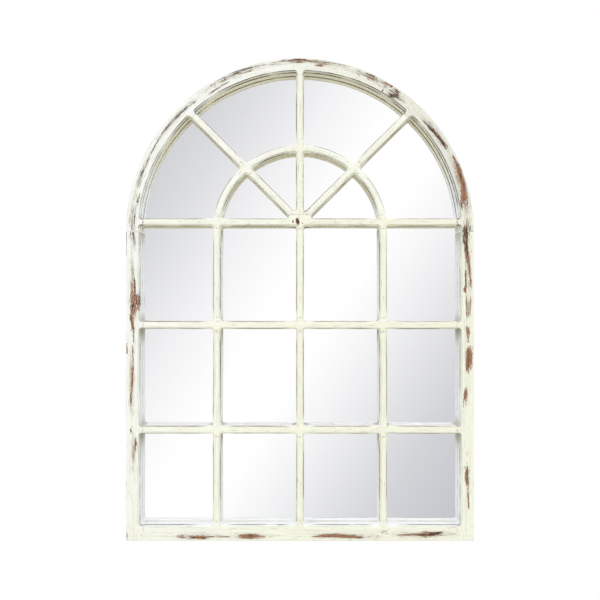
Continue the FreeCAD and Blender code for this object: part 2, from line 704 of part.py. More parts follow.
doc.recompute()
for thing in doc.Objects:
    if "Invalid" in thing.State or "Error" in thing.State:
        raise RuntimeError(f"{thing.Name} is {thing.State}")
GROUP_SOLIDS = {
    "joint_dowels": 12,
    "board_screws": 2 * STILE_SCREWS + ARCH_SCREWS + RAIL_SCREWS,
    "hanger_screws": 4,
    "wall_bumpers": 2,
}
for name, node in nodes.items():
    shape = node.Shape
    if shape.isNull() or not shape.isValid():
        raise RuntimeError(f"{name} has no valid shape")
    if len(shape.Solids) != GROUP_SOLIDS.get(name, 1):
        raise RuntimeError(f"{name} has {len(shape.Solids)} solids")
os.makedirs("parts", exist_ok=True)
for name, node in nodes.items():
    node.Shape.exportStep(f"parts/{name}.step")
    bounds = node.Shape.BoundBox
    print(f"{name:22s} {node.Shape.Volume / 1000:9.2f} cm3  z {bounds.ZMin:8.2f} to {bounds.ZMax:8.2f}")
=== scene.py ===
"""Looks of the arched window mirror: chipped cream paint over reddish wood, a silvered sheet behind,
a hardboard back and zinc-plated hangers, in a pale studio.

Metres, in the frame's own axes: X to the viewer's right, Y into the wall, Z up. The origin is the
centre of the arch, in the plane of the wall.
"""
import math

import bmesh
import bpy
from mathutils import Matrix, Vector, noise
from mathutils.bvhtree import BVHTree


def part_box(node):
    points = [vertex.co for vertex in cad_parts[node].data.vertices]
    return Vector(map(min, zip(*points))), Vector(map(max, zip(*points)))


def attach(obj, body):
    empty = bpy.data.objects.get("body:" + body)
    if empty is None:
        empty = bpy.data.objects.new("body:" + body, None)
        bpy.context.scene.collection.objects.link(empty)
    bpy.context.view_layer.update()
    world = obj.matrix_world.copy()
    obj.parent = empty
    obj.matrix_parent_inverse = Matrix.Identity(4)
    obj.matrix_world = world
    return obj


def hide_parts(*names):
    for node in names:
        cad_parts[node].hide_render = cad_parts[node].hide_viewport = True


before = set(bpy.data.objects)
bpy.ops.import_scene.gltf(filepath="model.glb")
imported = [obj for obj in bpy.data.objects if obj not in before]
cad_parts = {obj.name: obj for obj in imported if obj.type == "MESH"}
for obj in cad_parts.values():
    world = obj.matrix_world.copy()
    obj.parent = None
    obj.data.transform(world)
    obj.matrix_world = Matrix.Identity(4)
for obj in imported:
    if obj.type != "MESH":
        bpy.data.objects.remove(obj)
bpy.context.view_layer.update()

MM = 0.001

# --- places, read from the frame but for the ledge's depth --------------------------------------

LEDGE_DEPTH = 6 * MM  # of the step in the mouldings
BASE_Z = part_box("left_stile")[0][2]
FRONT_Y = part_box("left_stile")[0][1]
GLASS_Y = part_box("mirror_glass")[0][1]
STEP_Y = FRONT_Y + LEDGE_DEPTH
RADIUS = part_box("right_stile")[1][0]
UPPER_Z = sum(corner[2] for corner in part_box("upper_bar")) / 2
SIDE_BAR_X = sum(corner[0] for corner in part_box("right_bar")) / 2
ARC_RADIUS = math.hypot(SIDE_BAR_X, UPPER_Z)
DIAGONAL = math.sqrt(0.5)

ARCH_NODES = ("left_haunch", "arch_crown", "right_haunch")
STILE_NODES = ("left_stile", "right_stile")
FRAME_NODES = STILE_NODES + ("bottom_rail",) + ARCH_NODES
LEVEL_BARS = ("upper_bar", "middle_bar", "lower_bar")
UPRIGHT_BARS = ("centre_bar", "left_bar", "right_bar")
SPOKES = ("left_spoke", "right_spoke")
INNER_ARCS = ("left_inner_arc", "right_inner_arc")
BAR_NODES = LEVEL_BARS + UPRIGHT_BARS + SPOKES + INNER_ARCS
SIDE_NODES = STILE_NODES + UPRIGHT_BARS
HUB_NODES = ("upper_bar", "centre_bar") + SPOKES

# --- camera, as in the photograph ---------------------------------------------------------------

VIEW_WIDTH = 1.2066  # what the picture's width spans at the front face
VIEW_DISTANCE = 1.3  # from the lens to the front face
VIEW_HEIGHT = 0.4847  # of the lens over the mirror's base


def make_camera():
    lens = bpy.data.cameras.new("camera")
    lens.sensor_fit = "HORIZONTAL"
    lens.angle = 2 * math.atan(VIEW_WIDTH / 2 / VIEW_DISTANCE)
    camera = bpy.data.objects.new("camera", lens)
    camera.location = (0, FRONT_Y - VIEW_DISTANCE, BASE_Z + VIEW_HEIGHT)
    camera.rotation_euler = (math.radians(90), 0, 0)
    bpy.context.collection.objects.link(camera)
    bpy.context.scene.camera = camera


make_camera()

# --- painted wood: shape ------------------------------------------------------------------------

SLICE = 12 * MM  # length of the facets that the hand-planed waves are cut into
WAVE = 0.55 * MM  # how far planing left the wood off true
WAVE_LENGTH = 95 * MM
WAVE_INWARD = 0.5  # share of a wave's height that goes into the wall
WAVE_SEED = 1795565618  # which waves: without it they would be others in each run
RIPPLE = 0.35  # height of the ripples on the waves, as a share of the waves' own
RIPPLE_LENGTH = WAVE_LENGTH * 0.3
RIPPLE_OFFSET = Vector((7, 3, 5))
PROBE = 0.6 * MM  # how far beside an edge its neighbours are felt for
PROBE_DIRECTION = Vector((0.31, 0.87, 0.38)).normalized()  # along no face
SHARP = math.radians(35)
FLAT = math.radians(0.5)  # faces that meet at less are one face
TOUCHING = 1e-6
AT_FRONT = 1e-5  # how near the front face an edge of it lies
FRONT_ARRIS = (1.9 * MM, 4)  # how far the front face's arrises are eased, and in how many facets
OTHER_ARRIS = (1.0 * MM, 3)


def solid_tree(node):
    """A node's surface, for telling whether a point is inside it."""
    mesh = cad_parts[node].data
    points = [vertex.co.copy() for vertex in mesh.vertices]
    return BVHTree.FromPolygons(points, [tuple(polygon.vertices) for polygon in mesh.polygons])


def inside(tree, point):
    """Whether a ray from the point leaves the solid an odd number of times."""
    crossings = 0
    origin = point.copy()
    while True:
        hit = tree.ray_cast(origin, PROBE_DIRECTION)[0]
        if hit is None:
            return crossings % 2 == 1
        crossings += 1
        origin = hit + PROBE_DIRECTION * TOUCHING


WOOD_TREES = {node: solid_tree(node) for node in FRAME_NODES + BAR_NODES}


def is_open_arris(edge, node):
    """Whether an edge is a sharp outer corner with no other piece of wood against it."""
    if len(edge.link_faces) != 2 or edge.calc_face_angle_signed(0) < SHARP:
        return False
    middle = (edge.verts[0].co + edge.verts[1].co) / 2
    first, second = (face.normal for face in edge.link_faces)
    for near, far in ((first, second), (second, first)):
        probe = middle + near * PROBE - far * PROBE
        for other, tree in WOOD_TREES.items():
            if other != node and inside(tree, probe):
                return False
    return True


def ease_arrises(shape, node):
    """Rounds the open arrises, those of the front face most."""
    arrises = [edge for edge in shape.edges if is_open_arris(edge, node)]
    fronts = [
        edge for edge in arrises if max(vertex.co.y for vertex in edge.verts) < FRONT_Y + AT_FRONT
    ]
    others = [edge for edge in arrises if edge not in fronts]
    for edges, (offset, segments) in ((fronts, FRONT_ARRIS), (others, OTHER_ARRIS)):
        bmesh.ops.bevel(
            shape,
            geom=[edge for edge in edges if edge.is_valid],
            offset=offset,
            segments=segments,
            profile=0.5,
            affect="EDGES",
            clamp_overlap=False,
        )


def slice_across(shape, axis):
    """Cuts the faces into slices along an axis, for the waves to bend."""
    low = min(vertex.co[axis] for vertex in shape.verts)
    high = max(vertex.co[axis] for vertex in shape.verts)
    normal = Vector((axis == 0, 0, axis == 2))
    for number in range(math.ceil(low / SLICE), math.floor(high / SLICE) + 1):
        bmesh.ops.bisect_plane(
            shape,
            geom=shape.verts[:] + shape.edges[:] + shape.faces[:],
            dist=TOUCHING,
            plane_co=normal * number * SLICE,
            plane_no=normal,
        )


def planed(point):
    """The place of a point once the wood has been planed and sanded by hand."""
    sway = noise.noise_vector(point / WAVE_LENGTH) * WAVE
    fine = noise.noise_vector(point / RIPPLE_LENGTH + RIPPLE_OFFSET) * WAVE * RIPPLE
    return point + Vector((sway.x + fine.x, sway.y * WAVE_INWARD, sway.z + fine.z))


def wooden(node):
    """The piece that stands for a wooden node: its arrises eased and its faces not quite true."""
    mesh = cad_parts[node].data.copy()
    shape = bmesh.new()
    shape.from_mesh(mesh)
    bmesh.ops.remove_doubles(shape, verts=shape.verts, dist=TOUCHING)
    bmesh.ops.dissolve_limit(shape, angle_limit=FLAT, verts=shape.verts, edges=shape.edges)
    ease_arrises(shape, node)
    for axis in (0, 2):
        slice_across(shape, axis)
    for vertex in shape.verts:
        vertex.co = planed(vertex.co)
    for face in shape.faces:
        face.smooth = True
    bmesh.ops.triangulate(shape, faces=[face for face in shape.faces if len(face.verts) > 4])
    shape.to_mesh(mesh)
    shape.free()
    mesh.set_sharp_from_angle(angle=SHARP)
    piece = bpy.data.objects.new(f"{node}_wood", mesh)
    bpy.context.collection.objects.link(piece)
    weights = piece.modifiers.new("flat faces", "WEIGHTED_NORMAL")
    weights.keep_sharp = True
    mesh.materials.clear()
    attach(piece, "frame")
    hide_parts(node)
    return piece


noise.seed_set(WAVE_SEED)
WOOD = {node: wooden(node) for node in FRAME_NODES + BAR_NODES}

# --- shader building ----------------------------------------------------------------------------


class Nodes:
    """A node tree, with short ways to add and join nodes."""

    def __init__(self, tree):
        self.tree = tree
        self.tree.nodes.clear()

    def add(self, kind, **settings):
        node = self.tree.nodes.new(kind)
        for name, value in settings.items():
            setattr(node, name, value)
        return node

    def join(self, source, target):
        """Joins an output to an input, or sets the input when the source is a plain value."""
        if isinstance(source, bpy.types.NodeSocket):
            self.tree.links.new(source, target)
        elif source is not None:
            target.default_value = source

    def position(self):
        return self.add("ShaderNodeTexCoord").outputs["Object"]

    def normal(self):
        """The parts of the surface's own direction."""
        return self.split(self.add("ShaderNodeNewGeometry").outputs["Normal"])

    def math(self, operation, *values, clamp=False):
        node = self.add("ShaderNodeMath", operation=operation, use_clamp=clamp)
        for value, socket in zip(values, node.inputs):
            self.join(value, socket)
        return node.outputs[0]

    def plus(self, first, second):
        return self.math("ADD", first, second)

    def minus(self, first, second):
        return self.math("SUBTRACT", first, second)

    def times(self, first, second):
        return self.math("MULTIPLY", first, second)

    def size(self, value):
        return self.math("ABSOLUTE", value)

    def lowest(self, first, second):
        return self.math("MINIMUM", first, second)

    def highest(self, first, second):
        return self.math("MAXIMUM", first, second)

    def vector(self, operation, *values):
        node = self.add("ShaderNodeVectorMath", operation=operation)
        for value, socket in zip(values, node.inputs):
            self.join(value, socket)
        return node.outputs["Value" if operation in ("LENGTH", "DOT_PRODUCT") else "Vector"]

    def split(self, vector):
        node = self.add("ShaderNodeSeparateXYZ")
        self.join(vector, node.inputs[0])
        return node.outputs

    def combine(self, *parts):
        node = self.add("ShaderNodeCombineXYZ")
        for part, socket in zip(parts, node.inputs):
            self.join(part, socket)
        return node.outputs[0]

    def noise(self, vector, scale, detail=4.0, roughness=0.55, distortion=0.0):
        node = self.add("ShaderNodeTexNoise")
        self.join(vector, node.inputs["Vector"])
        node.inputs["Scale"].default_value = scale
        node.inputs["Detail"].default_value = detail
        node.inputs["Roughness"].default_value = roughness
        node.inputs["Distortion"].default_value = distortion
        return node.outputs["Fac"]

    def step(self, value, low, high, to_low=0.0, to_high=1.0):
        """A smooth ramp from one value to another."""
        node = self.add("ShaderNodeMapRange", interpolation_type="SMOOTHSTEP")
        for socket, setting in zip(node.inputs, (value, low, high, to_low, to_high)):
            self.join(setting, socket)
        return node.outputs[0]

    def band(self, value, low, high, soft):
        """1 between two values and 0 beyond them."""
        return self.times(self.step(value, low - soft, low), self.step(value, high + soft, high))

    def mix(self, factor, first, second):
        """Between two colours."""
        node = self.add("ShaderNodeMix", data_type="RGBA")
        self.join(factor, node.inputs[0])
        self.join(first, node.inputs[6])
        self.join(second, node.inputs[7])
        return node.outputs[2]

    def blend(self, factor, first, second):
        """Between two values."""
        node = self.add("ShaderNodeMix", data_type="FLOAT")
        self.join(factor, node.inputs[0])
        self.join(first, node.inputs[2])
        self.join(second, node.inputs[3])
        return node.outputs[0]

    def ramp(self, value, stops):
        node = self.add("ShaderNodeValToRGB")
        self.join(value, node.inputs[0])
        elements = node.color_ramp.elements
        while len(elements) < len(stops):
            elements.new(0.5)
        for element, (place, colour) in zip(elements, stops):
            element.position = place
            element.color = colour
        return node.outputs[0]

    def bump(self, height, distance, strength, normal=None):
        node = self.add("ShaderNodeBump")
        node.inputs["Strength"].default_value = strength
        node.inputs["Distance"].default_value = distance
        self.join(height, node.inputs["Height"])
        self.join(normal, node.inputs["Normal"])
        return node.outputs[0]


class Shader(Nodes):
    """A material."""

    def __init__(self, name):
        self.material = bpy.data.materials.new(name)
        self.material.use_nodes = True
        super().__init__(self.material.node_tree)
        self.surface = self.add("ShaderNodeBsdfPrincipled")
        output = self.add("ShaderNodeOutputMaterial")
        self.join(self.surface.outputs[0], output.inputs["Surface"])

    def finish(self, colour, roughness, normal=None, metallic=0.0):
        self.join(colour, self.surface.inputs["Base Color"])
        self.join(roughness, self.surface.inputs["Roughness"])
        self.join(normal, self.surface.inputs["Normal"])
        self.surface.inputs["Metallic"].default_value = metallic
        return self.material


def srgb(red, green, blue):
    """A shader colour from screen values of 0 to 255."""
    parts = []
    for value in (red, green, blue):
        value /= 255
        parts.append(value / 12.92 if value <= 0.04045 else ((value + 0.055) / 1.055) ** 2.4)
    return (*parts, 1.0)


# --- painted wood: where it is worn, and painted light and shade --------------------------------

# Places are in millimetres: along the grain, in from the mirror's outer edge, half the length, half
# the width, and degrees of lean. Along is Z on the stiles, X on the rail, and the distance round the
# outer edge from the top of the arch, to the right, on the arch.
CHIPS = {
    "left_stile": (
        (-432, 18.5, 13, 1.5, 3), (-424, 19.8, 6, 2.0, 0), (-400, 9.6, 4, 2.0, 0),
        (-335, 9.6, 11, 1.6, 0), (-290, 13, 24, 1.9, 2), (-244, 14.3, 18, 1.1, 0),
        (-206, 15.5, 13, 0.9, 0), (-180, 12, 18, 3.2, -6), (-143, 15, 25, 6.0, 0),
        (-139, 20, 14, 6.5, 0), (-109, 17.5, 15, 2.0, 0), (-235, 2.4, 8, 1.2, 0),
        (-8, 16, 16, 1.0, -6), (-20, 0.5, 26, 1.2, 0), (-611, 1.5, 4, 1.5, 0),
    ),
    "right_stile": (
        (-10, 17, 16, 4.8, -6), (-38, 15.2, 21, 3.2, 6), (-82, 8.2, 27, 1.8, 4),
        (-96, 16.4, 22, 1.5, 0), (-115, 18.4, 7, 2.8, 0), (-148, 7.5, 17, 0.8, 0),
        (-149, 14.6, 18, 1.1, 0), (-202, 12, 13, 3.2, 0), (-252, 9.5, 20, 6.4, 0),
        (-268, 13, 12, 3.0, 0), (-326, 17, 10, 3.8, 0), (-345, 21, 10, 0.9, 0),
        (-491, 14.6, 17, 3.6, 0), (-538, 11, 15, 1.2, 0),
    ),
    "arch": (
        (-480, 18, 11, 1.6, 4), (-520, 16, 12, 0.8, 0), (-425, 10.5, 9, 0.9, 0),
        (-363, 10.5, 14, 1.0, 0), (-321, 8.5, 17, 1.0, 0), (-272, 11, 19, 1.2, 3),
        (-241, 13, 4, 1.5, 0), (-177, 16.5, 24, 0.9, -3), (-134, 4, 8, 0.9, 0),
        (-115, 3, 9, 1.1, 0), (-10, 4, 40, 0.5, 0), (-2, 1.8, 17, 1.4, 0),
        (38, 4.4, 52, 0.6, -2), (42, 12, 6, 1.8, -12), (149, 3.3, 10, 1.2, 0),
        (186, 3.7, 12, 1.4, 0), (214, 11, 3.8, 8.0, -20), (207, 19, 8, 3.8, -10),
        (305, 15.5, 13, 1.2, 0), (338, 12, 27, 3.0, -5), (402, 6, 12, 2.0, 0),
        (446, 8, 42, 4.4, 3), (472, 11.5, 17, 5.5, 8), (486, 19.5, 12, 2.0, 8),
        (546, 17.5, 10, 4.2, 0),
    ),
    "bottom_rail": (
        (-348, 14, 2.5, 4.5, 0), (-238, 8, 6, 1.8, -20), (-206, 7, 15, 3.2, 0),
        (-182, 8.5, 12, 0.9, 0), (-152, 8.7, 10, 0.9, 0), (-102, 9.5, 18, 4.2, 0),
        (-78, 8.5, 9, 1.2, 0), (40, 9, 14, 1.0, 0), (77, 10, 34, 2.8, -3),
        (115, 7.5, 12, 1.4, 0), (170, 18.7, 5, 0.9, 20), (225, 12, 22, 1.2, 0),
        (264, 14, 23, 3.6, 4),
    ),
}
# Where the paint is rubbed through in fine streaks only.
RUBS = {
    "left_stile": ((-310, 11, 80, 6), (-90, 13, 45, 6), (0, 14, 45, 8), (-440, 15, 50, 5)),
    "right_stile": (
        (-50, 13, 65, 9), (-150, 12, 30, 6), (-257, 12, 26, 8), (-330, 16, 25, 5), (-510, 12, 45, 5),
    ),
    "arch": (
        (-520, 12, 50, 8), (-420, 11, 70, 6), (-300, 10, 80, 6), (-130, 6, 90, 8), (20, 6, 120, 7),
        (150, 8, 70, 8), (215, 14, 30, 10), (330, 12, 55, 8), (450, 12, 85, 10), (540, 12, 30, 10),
    ),
    "bottom_rail": ((-205, 9, 55, 7), (-100, 10, 45, 7), (90, 10, 80, 7), (245, 13, 75, 8)),
}
# Across the middle of the fan the places are X and Z.
HUB_CHIPS = (
    (-5, 22, 3.6, 7.5, 12), (-14, 21.6, 1.3, 3.0, 0), (5, 18, 1.1, 1.3, 0), (14.5, 45, 8, 0.9, 38),
)
# Wood darkened with age: X, Z and how far round.
DARK_WOOD = (
    (288, 199, 45), (336, -12, 32), (0, 21, 30), (195, 275, 25), (272, -607, 12), (-210, 280, 200),
)
CHIP_DEPTH = 16 * MM  # how far down an edge a chip runs
FAR = 9.0  # further than any spot reaches

# How plainly a moulding's dark lines show: worn wood with painted shade along the front arris, painted
# shade down the step, worn wood with painted shade along the ledge's arris, and painted shade under
# the ledge and at the glass.
LINES = {
    "arch": (1.0, 0.2, 1.0, 0.3, 0.8),
    "edge": (0.15, 0.1, 0.85, 0.2, 0.2),
    "bar": (0.12, 0.1, 1.0, 0.2, 0.3),
}
# How far in from the outer edge, or off a bar's middle, the ledge's arris lies.
LEDGE_RIMS = {"arch": 26 * MM, "edge": 26 * MM, "bar": 6.8 * MM}
RAIL_LEDGE_RIM = 30 * MM
# How far from a junction the lines start, and how far from it they are whole.
JUNCTION_GAPS = {"arch": (4 * MM, 12 * MM), "edge": (14 * MM, 42 * MM), "bar": (14 * MM, 42 * MM)}

# Marks drawn out along the grain: length, width, offset of the noise, and detail.
BRUSH = (60 * MM, 1.4 * MM, 3.1, 3.0)
HAIR = (26 * MM, 1.0 * MM, 11.7, 4.0)
RAGGED = (13 * MM, 1.5 * MM, 23.3, 5.0)
GRAIN = (30 * MM, 1.1 * MM, 31.9, 3.0)
STAIN = (22 * MM, 5 * MM, 51.1, 3.0)
FLECK = (5 * MM, 1.2 * MM, 67.3, 3.0)
WEAR_AND_SHADE_PATCHES = (70 * MM, 40 * MM, 41.3, 3.0)
MOTTLE = (22.0, 3.0)  # scale and detail of clouds that don't follow the grain

# How far noise moves a chip's rim along and across the grain, and how much it roughens the rim.
FRAY = 44 * MM
NIBBLE = 9 * MM
ROUGHEN = 1.8

# Smooth steps over noise or distance: where they start, where they end, and what they give there
# where that isn't 0 and 1.
BRUSHED = (0.5, 0.72, 0.0, 0.75)
MOTTLED = (0.35, 0.7, 0.0, 0.5)
WORN_AND_SHADED_PLACES = (0.34, 0.52, 0.25, 1.0)
CHIP_RIM = (1.08, 0.92)
PAINT_ISLANDS = (0.585, 0.635)
NEAR_RUB = (1.3, 0.1)
RUBBED_STREAKS = (0.655, 0.7)
RUBBED_FLECKS = (0.69, 0.73)
SCUFFED_STREAKS = (0.38, 0.6, 0.2, 0.85)
PAINT_ROUGHNESS = (0.3, 0.7, 0.5, 0.62)
BACK_OVERSPILL = (0.66, 0.6)  # brush marks of paint that ran onto the raw back
NEAR_AGED = (1.2, 0.6, 0.0, 0.2)
AGED = (0.5, 0.66)
LINE_HAIRS = (0.3, 0.5, 0.65, 1.0)
LINE_GRAIN = (0.35, 0.65)
RUB_STREAKS_MORE = 0.13  # added to the noise of the hairs where the paint is rubbed
RUB_FLECKS_MORE = 0.1
WOOD_ROUGHNESS = 0.85

# How deep, and how far in from the outer edge, the faces' paint gives way to the painted light and
# shade of the mouldings and the painted shade of the outer sides.
BAR_RECESS = (STEP_Y + 0.3 * MM, STEP_Y + 0.9 * MM)
FRAME_RECESS = (STEP_Y - 1 * MM, STEP_Y - 0.4 * MM)
FRAME_RECESS_INSET = (18 * MM, 20 * MM)
OUTER_SIDE = (FRONT_Y + 2 * MM, FRONT_Y + 5 * MM, 0.25, 1.0)
OUTER_SIDE_INSET = (2.5 * MM, 0.5 * MM)
LINES_INSET = (15 * MM, 19 * MM, 0.3, 1.0)
SHADE_BELOW_BAR = (5 * MM, 8 * MM, 40 * MM)  # from, to, and over how far it fades

# How far along the arch: greyer paint down the right until the stile, and dark mouldings between a
# little left of the top and low on the right.
GREYER = (0.0, 0.36, 0.0, 0.85)
GREYER_UNTIL = (0.55, 0.46)
DARKER_FROM = (-0.36, -0.26)
DARKER_UNTIL = (0.54, 0.47)
ELSEWHERE_DARK = 0.65

# How far down and to the right: warmer, darker paint as a painted falloff of the light, and wood that
# isn't weathered grey.
FALL = 0.5  # share of the way down that counts as the way across
WARMER = (-0.5, 0.35)
WEATHERED = (-0.27, -0.35, 0.0, 0.85)

# How a surface faces: parts of its normal.
FACES_DOWN = (-0.15, -0.6)
FACES_BACK = (0.6, 0.8)
FACES_ASIDE = (0.75, 0.45)
ARRIS_FROM_SIDE = (0.12, 0.4)
ARRIS_TO_FRONT = (0.985, 0.86)

# --- painted wood: colours ----------------------------------------------------------------------

# Paint at the mirror's upper left and at its lower right: the cooler, whiter upper left and the
# warmer, darker lower right are a painted falloff of the light.
PAINT = {
    "fan": (srgb(251, 252, 246), srgb(248, 250, 239)),
    "bars": (srgb(251, 252, 244), srgb(246, 247, 228)),
    "frame": (srgb(249, 251, 251), srgb(245, 246, 230)),
}
GREYER_PAINT = srgb(224, 224, 219)
MOTTLED_PAINT = srgb(238, 237, 225)
BRUSHED_PAINT = srgb(220, 216, 205)
SCUFFED_PAINT = srgb(207, 201, 188)
# Painted shade on the mirror's outer sides.
OUTER_SIDE_PAINTED_SHADE = srgb(222, 220, 206)
# Painted light inside the mouldings: whiter and bluer than the faces.
RECESS_PAINTED_LIGHT = srgb(248, 251, 251)
# Painted shade: khaki on the undersides of the mouldings, olive on the walls below the level bars.
UNDERSIDE_PAINTED_SHADE = srgb(226, 221, 194)
ARCH_UNDERSIDE_PAINTED_SHADE = srgb(238, 234, 211)
SHADED_PAINT = srgb(146, 146, 118)
OUTER_SIDE_SHARE = 0.8
SHADED_SHARE = 0.7

# By the noise of the grain.
RED_WOOD = ((0.3, srgb(116, 78, 54)), (0.5, srgb(152, 104, 74)), (0.68, srgb(186, 140, 108)))
AGED_WOOD = ((0.3, srgb(58, 40, 30)), (0.5, srgb(90, 60, 44)), (0.7, srgb(126, 88, 66)))
RAW_WOOD = ((0.3, srgb(150, 116, 80)), (0.5, srgb(184, 150, 110)), (0.7, srgb(204, 174, 136)))
WEATHERED_WOOD = srgb(104, 96, 92)

# Dark lines of the mouldings: worn wood and painted shade.
LINE_COLOURS = {
    "arch": (srgb(54, 38, 30), srgb(104, 84, 68)),
    "edge": (srgb(84, 80, 72), srgb(128, 130, 126)),
    "bar": (srgb(74, 52, 42), srgb(122, 100, 82)),
}

# --- painted wood: places on a member -----------------------------------------------------------


def kind_of(node):
    """The row of the tables that a wooden node goes by."""
    if node in ARCH_NODES:
        return "arch"
    return "bar" if node in BAR_NODES else "edge"


def middle_of(node, axis):
    low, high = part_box(node)
    return (low[axis] + high[axis]) / 2


def round_arch(shader, x, z, radius):
    """Distance round an arc from its top, and distance from its centre."""
    turn = shader.math("ARCTAN2", x, z)
    return shader.times(turn, radius), shader.vector("LENGTH", shader.combine(x, 0.0, z))


def member_place(shader, node):
    """Distance along the grain, distance in from the outer edge or off a bar's middle, and depth."""
    x, y, z = shader.split(shader.position())
    if node in STILE_NODES:
        return z, shader.minus(RADIUS, shader.size(x)), y
    if node == "bottom_rail":
        return x, shader.minus(z, BASE_Z), y
    if node in ARCH_NODES:
        along, reach = round_arch(shader, x, z, RADIUS)
        return along, shader.minus(RADIUS, reach), y
    if node in LEVEL_BARS:
        return x, shader.minus(z, middle_of(node, 2)), y
    if node in UPRIGHT_BARS:
        return z, shader.minus(x, middle_of(node, 0)), y
    if node in SPOKES:
        aside = shader.size(x)
        rise = shader.minus(z, UPPER_Z)
        along = shader.times(shader.plus(aside, rise), DIAGONAL)
        return along, shader.times(shader.minus(rise, aside), DIAGONAL), y
    along, reach = round_arch(shader, x, z, ARC_RADIUS)
    return along, shader.minus(reach, ARC_RADIUS), y


def junctions(node):
    """Where other members meet this one, along it."""
    rows = [middle_of(bar, 2) for bar in LEVEL_BARS] + [BASE_Z]
    if node == "bottom_rail" or node in LEVEL_BARS:
        return [-RADIUS, -SIDE_BAR_X, 0, SIDE_BAR_X, RADIUS]
    if node in STILE_NODES or node in ("left_bar", "right_bar"):
        return rows
    if node == "centre_bar":
        return rows + [ARC_RADIUS, RADIUS]
    if node in SPOKES:
        return [0, ARC_RADIUS - UPPER_Z * DIAGONAL, RADIUS - UPPER_Z * DIAGONAL]
    radius = ARC_RADIUS if node in INNER_ARCS else RADIUS
    end_turn = math.pi / 2 - (math.asin(UPPER_Z / radius) if node in INNER_ARCS else 0)
    spoke_turn = math.pi / 4 - math.asin(UPPER_Z * DIAGONAL / radius)
    return [radius * turn for turn in (-end_turn, -spoke_turn, 0, spoke_turn, end_turn)]


def nearest(shader, value, places):
    """Distance from the nearest of several places on a line."""
    gaps = [shader.size(shader.minus(value, float(place))) for place in places]
    best = gaps[0]
    for gap in gaps[1:]:
        best = shader.lowest(best, gap)
    return best


def patches(shader, place, spots, depth, squarish=False):
    """How far a point lies from the middle of the nearest spot, with 1 at the spot's rim."""
    best = FAR
    for along, inset, half_length, half_width, *lean in spots:
        mapping = shader.add("ShaderNodeMapping", vector_type="TEXTURE")
        shader.join(place, mapping.inputs["Vector"])
        mapping.inputs["Location"].default_value = (along * MM, inset * MM, FRONT_Y)
        mapping.inputs["Rotation"].default_value = (0, 0, math.radians(lean[0] if lean else 0))
        mapping.inputs["Scale"].default_value = (half_length * MM, half_width * MM, depth)
        if squarish:
            squares = shader.vector("MULTIPLY", mapping.outputs[0], mapping.outputs[0])
            reach = shader.math("POWER", shader.vector("DOT_PRODUCT", squares, squares), 0.25)
        else:
            reach = shader.vector("LENGTH", mapping.outputs[0])
        best = shader.lowest(best, reach)
    return best


def spots_of(node, table):
    """A member's spots that reach this node."""
    if node not in ARCH_NODES:
        return table.get(node, ())
    half_segment = RADIUS * math.pi / 6 / MM
    middle = (ARCH_NODES.index(node) - 1) * 2 * half_segment
    return [spot for spot in table["arch"] if abs(spot[0] - middle) < half_segment + 2 * spot[2]]


def slant(shader):
    """How far a point lies to the right and down."""
    x, _, z = shader.split(shader.position())
    return shader.minus(x, shader.times(z, FALL))


# --- painted wood: materials --------------------------------------------------------------------


def face_paint(shader, node, along, brush, mottle):
    """Cream paint with brush marks; cooler at the upper left, warmer at the lower right as painted
    light.
    """
    group = "fan" if node in SPOKES + INNER_ARCS else "bars" if node in BAR_NODES else "frame"
    cool, warm = PAINT[group]
    # Painted falloff of the light: cooler and whiter at the upper left, warmer and darker at the lower
    # right.
    tone = shader.mix(shader.step(slant(shader), *WARMER), cool, warm)
    if node in ARCH_NODES:
        greyer = shader.times(shader.step(along, *GREYER), shader.step(along, *GREYER_UNTIL))
        tone = shader.mix(greyer, tone, GREYER_PAINT)
    tone = shader.mix(shader.step(mottle, *MOTTLED), tone, MOTTLED_PAINT)
    return shader.mix(shader.step(brush, *BRUSHED), tone, BRUSHED_PAINT)


def recess_light_and_shade(shader, node):
    """Inside the mouldings: whiter, bluer paint as painted light, with painted shade underneath and
    below the level bars.
    """
    z = shader.split(shader.position())[2]
    # Painted shade on the undersides and on the walls below the level bars.
    underside = ARCH_UNDERSIDE_PAINTED_SHADE if node in ARCH_NODES else UNDERSIDE_PAINTED_SHADE
    tone = shader.mix(shader.step(shader.normal()[2], *FACES_DOWN), RECESS_PAINTED_LIGHT, underside)
    if node in SIDE_NODES:
        for bar in LEVEL_BARS:
            shade = shader.band(shader.minus(middle_of(bar, 2), z), *SHADE_BELOW_BAR)
            tone = shader.mix(shader.times(shade, SHADED_SHARE), tone, SHADED_PAINT)
    return tone


def paint_tone(shader, node, along, across, depth, brush, mottle):
    """Paint of the faces, painted light and shade inside the mouldings, and painted shade on the outer
    sides.
    """
    tone = face_paint(shader, node, along, brush, mottle)
    recess = recess_light_and_shade(shader, node)
    if node in BAR_NODES:
        return shader.mix(shader.step(depth, *BAR_RECESS), tone, recess)
    # Painted shade on the outer sides.
    outside = shader.times(shader.step(depth, *OUTER_SIDE), shader.step(across, *OUTER_SIDE_INSET))
    tone = shader.mix(shader.times(outside, OUTER_SIDE_SHARE), tone, OUTER_SIDE_PAINTED_SHADE)
    within = shader.times(shader.step(depth, *FRAME_RECESS), shader.step(across, *FRAME_RECESS_INSET))
    return shader.mix(within, tone, recess)


def bare_wood(shader, grain, stain):
    """Reddish wood, darker in places, and weathered grey at the upper left."""
    x, y, z = shader.split(shader.position())
    spots = [(x_mm, z_mm, reach, reach) for x_mm, z_mm, reach in DARK_WOOD]
    near_aged = shader.step(patches(shader, shader.combine(x, z, y), spots, 1.0), *NEAR_AGED)
    aged = shader.step(shader.plus(stain, near_aged), *AGED)
    wood = shader.mix(aged, shader.ramp(grain, RED_WOOD), shader.ramp(grain, AGED_WOOD))
    return shader.mix(shader.step(slant(shader), *WEATHERED), wood, WEATHERED_WOOD)


